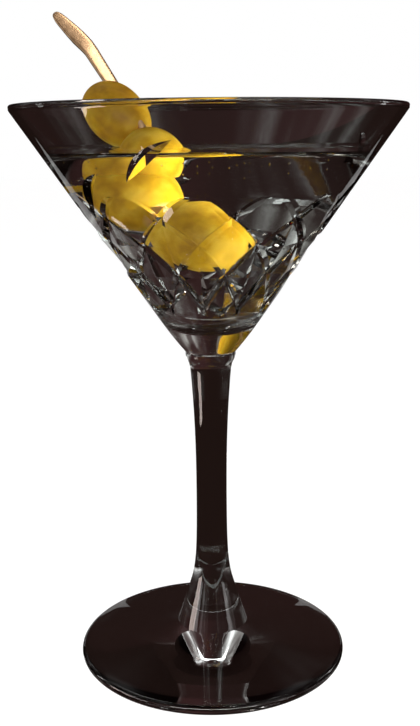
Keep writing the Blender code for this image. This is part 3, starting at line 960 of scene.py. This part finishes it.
def make_world():
    """White to the camera; to all else a dark studio with soft bright patches at its sides."""
    world = bpy.data.worlds.new("studio")
    bpy.context.scene.world = world
    world.use_nodes = True
    nodes = world.node_tree.nodes
    links = world.node_tree.links
    direction = nodes.new("ShaderNodeTexCoord").outputs["Generated"]
    parts = nodes.new("ShaderNodeSeparateXYZ")
    links.new(direction, parts.inputs["Vector"])
    across = map_range(nodes, links, parts.outputs["X"], *BACKDROP_BLEND)
    wall = add_ramp(nodes, links, across, ((0.0, BACKDROP_LEFT), (1.0, BACKDROP_RIGHT)))
    clouds = add_noise(nodes, links, direction, CLOUD_SCALE, CLOUD_DETAIL, shift=CLOUD_SHIFT)
    clouds = add_ramp(nodes, links, clouds, CLOUD_STOPS)
    width = nodes.new("ShaderNodeMath")
    width.operation = "ABSOLUTE"
    links.new(parts.outputs["X"], width.inputs[0])
    aside = map_range(nodes, links, width.outputs["Value"], *SIDES)
    not_behind = map_range(nodes, links, parts.outputs["Y"], *BACK)
    clouds = scale_by(nodes, links, scale_by(nodes, links, clouds, not_behind), aside)
    room = add_colours(nodes, links, wall, clouds)
    backdrop = nodes["Background"]
    links.new(room, backdrop.inputs["Color"])
    pale = nodes.new("ShaderNodeBackground")
    pale.inputs["Color"].default_value = (1.0, 1.0, 1.0, 1.0)
    path = nodes.new("ShaderNodeLightPath")
    mix = nodes.new("ShaderNodeMixShader")
    links.new(path.outputs["Is Camera Ray"], mix.inputs["Fac"])
    links.new(backdrop.outputs["Background"], mix.inputs[1])
    links.new(pale.outputs["Background"], mix.inputs[2])
    links.new(mix.outputs["Shader"], nodes["World Output"].inputs["Surface"])


def outward(azimuth, elevation):
    """Unit vector towards a place round the glass; azimuth 0 is the camera's side."""
    turn, rise = math.radians(azimuth), math.radians(elevation)
    along = math.cos(rise)
    return Vector((math.sin(turn) * along, -math.cos(turn) * along, math.sin(rise)))


def aim(light, target, azimuth, elevation, distance):
    """Put a light at a distance from its target, and point it there."""
    towards = outward(azimuth, elevation)
    light.location = target * MM + towards * distance
    light.rotation_mode = "QUATERNION"
    light.rotation_quaternion = towards.to_track_quat("Z", "Y")


def add_light(name, azimuth, elevation, distance, size, watts, colour=(1.0, 1.0, 1.0)):
    """An area light that looks at the middle of the bowl; size is its width and height."""
    lamp = bpy.data.lights.new(name, "AREA")
    lamp.shape = "RECTANGLE"
    lamp.size, lamp.size_y = size
    lamp.energy = watts
    lamp.color = colour
    light = bpy.data.objects.new(name, lamp)
    bpy.context.scene.collection.objects.link(light)
    aim(light, LIGHT_TARGET, azimuth, elevation, distance)
    light.visible_camera = False
    return light


def add_fill(*placing):
    """A light that only soft surfaces see, so that it leaves no mark in the glass."""
    light = add_light(*placing)
    light.visible_glossy = False
    light.visible_transmission = False


def add_sheen(*placing):
    """A light that only shows where a surface mirrors it."""
    light = add_light(*placing)
    light.visible_diffuse = False
    light.visible_transmission = False


def add_beam():
    """A narrow soft-edged beam on the middle olive, which leaves no mark in the glass either."""
    lamp = bpy.data.lights.new("beam", "SPOT")
    lamp.energy = BEAM_WATTS
    lamp.spot_size = math.radians(BEAM_DEGREES)
    lamp.spot_blend = 1.0
    lamp.shadow_soft_size = BEAM_LAMP_RADIUS
    beam = bpy.data.objects.new("beam", lamp)
    bpy.context.scene.collection.objects.link(beam)
    aim(beam, BEAM_TARGET, BEAM_AZIMUTH, BEAM_ELEVATION, BEAM_DISTANCE)
    beam.visible_glossy = False
    beam.visible_transmission = False


def make_lights(pick):
    """Lights by azimuth, elevation, distance, size, watts and, where one isn't white, colour."""
    add_fill("fill_right", 86.0, 16.0, 1.2, (0.4, 0.4), 3.2, (1.0, 0.92, 0.80))
    add_fill("fill_front", 0.0, 10.0, 1.4, (0.6, 0.6), 0.7, (1.0, 0.90, 0.75))
    add_fill("fill_low", 62.0, -24.0, 0.15, (0.04, 0.04), 0.26, (1.0, 0.94, 0.82))
    add_beam()
    add_light("glint_high", 25.0, 62.0, 1.2, (0.08, 0.08), 0.4)
    add_light("strip_left", -105.0, 8.0, 1.1, (0.10, 0.35), 0.35)
    add_light("strip_right", 112.0, 9.0, 1.1, (0.10, 0.35), 0.35)
    add_light("back_top", 180.0, 70.0, 1.2, (1.3, 0.08), 1.0)
    add_sheen("sheen_front", 0.0, 20.0, 1.2, (1.6, 0.30), 10.0)
    add_sheen("sheen_left", -152.0, -16.5, 0.35, (0.16, 0.08), 0.022)
    add_sheen("sheen_right", 152.0, -16.5, 0.35, (0.16, 0.08), 0.022)
    add_light("card_right", 60.0, 3.0, 1.2, (0.3, 0.3), 0.6)
    add_light("card_left", -60.0, 3.0, 1.2, (0.3, 0.3), 0.6)
    add_light("stem_card", -72.0, -29.0, 0.22, (0.07, 0.03), 0.05, (1.0, 0.85, 0.78))
    glow = add_light("pick_glow", -32.0, 69.0, 1.2, (0.26, 0.26), 2.1, (1.0, 0.95, 0.88))
    receivers = bpy.data.collections.new("pick_only")
    receivers.objects.link(pick)
    glow.light_linking.receiver_collection = receivers


def make_camera():
    data = bpy.data.cameras.new("camera")
    data.sensor_width = SENSOR
    data.lens = FOCAL_PIXELS / IMAGE_HEIGHT * SENSOR
    camera = bpy.data.objects.new("camera", data)
    bpy.context.scene.collection.objects.link(camera)
    pitch = Matrix.Rotation(math.radians(90.0 - CAMERA_PITCH), 4, "X")
    roll = Matrix.Rotation(math.radians(-CAMERA_ROLL), 4, "Z")
    camera.matrix_world = Matrix.Translation(CAMERA_PLACE * MM) @ pitch @ roll
    bpy.context.scene.camera = camera


def main():
    make_camera()
    make_floors()
    make_world()
    make_glass()
    for index, (name, end_colour) in enumerate(zip(OLIVES, OLIVE_ENDS)):
        make_olive(index, name, olive_material(name + "_golden", end_colour))
    pick = make_pick(gold_material())
    make_lights(pick)
    make_drink(drink_material())
    make_bubbles(bubble_material())
    bpy.context.scene.view_settings.view_transform = "Standard"


main()
